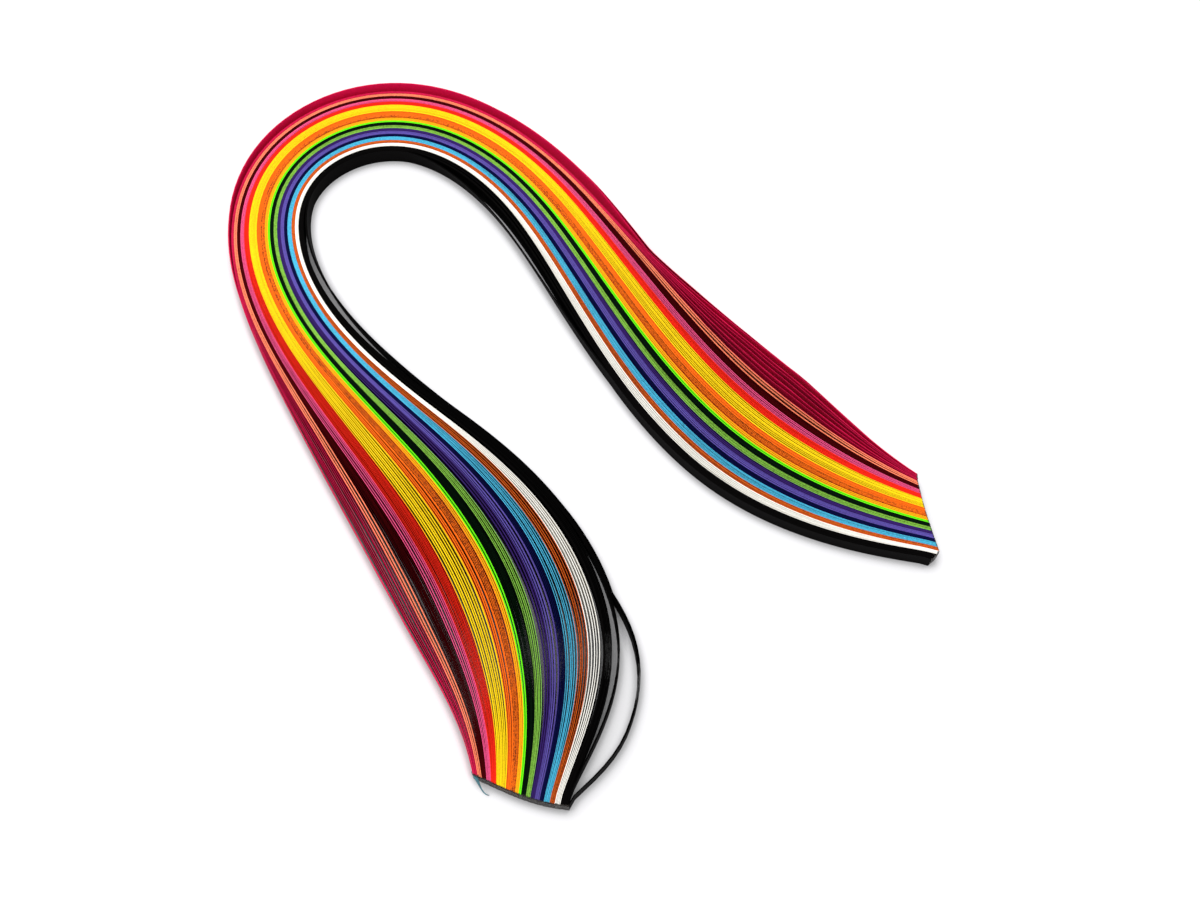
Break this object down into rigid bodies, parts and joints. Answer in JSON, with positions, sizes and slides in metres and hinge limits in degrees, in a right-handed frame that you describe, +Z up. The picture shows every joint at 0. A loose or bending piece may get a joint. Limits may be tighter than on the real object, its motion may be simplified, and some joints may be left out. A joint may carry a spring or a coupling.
{
  "type": "quilling paper strip bundle",
  "caption": "Bundle of coloured paper strips for quilling, standing on edge and glued at both ends, bent into a hook whose two legs fan out.",
  "frame": {"origin": "centre of the bundle's box on the surface it stands on", "axes": "+Z up along the width of the strips, +Y towards the bend, away from the open ends of the legs, +X towards the near leg's end"},
  "size_m": [0.2397, 0.2603, 0.007],
  "materials": {
    "black_paper": "matt",
    "white_paper": "matt",
    "rust_paper": "matt",
    "sky_blue_paper": "matt",
    "navy_paper": "matt",
    "lilac_paper": "matt",
    "dark_violet_paper": "matt",
    "light_green_paper": "matt",
    "dark_green_paper": "matt",
    "lime_paper": "matt",
    "amber_paper": "matt",
    "brown_orange_paper": "matt",
    "orange_paper": "matt",
    "yellow_paper": "matt",
    "red_paper": "matt",
    "pink_paper": "matt",
    "maroon_paper": "matt",
    "coral_paper": "matt",
    "crimson_paper": "matt",
    "clear_glue": "dried clear glue, slightly yellow"
  },
  "bodies": {
    "root": {"black_strips": "black_paper", "white_strips": "white_paper", "rust_strips": "rust_paper", "sky_blue_strips": "sky_blue_paper", "navy_strips": "navy_paper", "lilac_strips": "lilac_paper", "dark_violet_strips": "dark_violet_paper", "light_green_strips": "light_green_paper", "dark_green_strips": "dark_green_paper", "lime_strips": "lime_paper", "amber_strips": "amber_paper", "brown_orange_strips": "brown_orange_paper", "orange_strips": "orange_paper", "yellow_strips": "yellow_paper", "red_strips": "red_paper", "pink_strips": "pink_paper", "maroon_strips": "maroon_paper", "coral_strips": "coral_paper", "crimson_strips": "crimson_paper", "near_end_glue": "clear_glue", "far_end_glue": "clear_glue"}
  },
  "joints": []
}
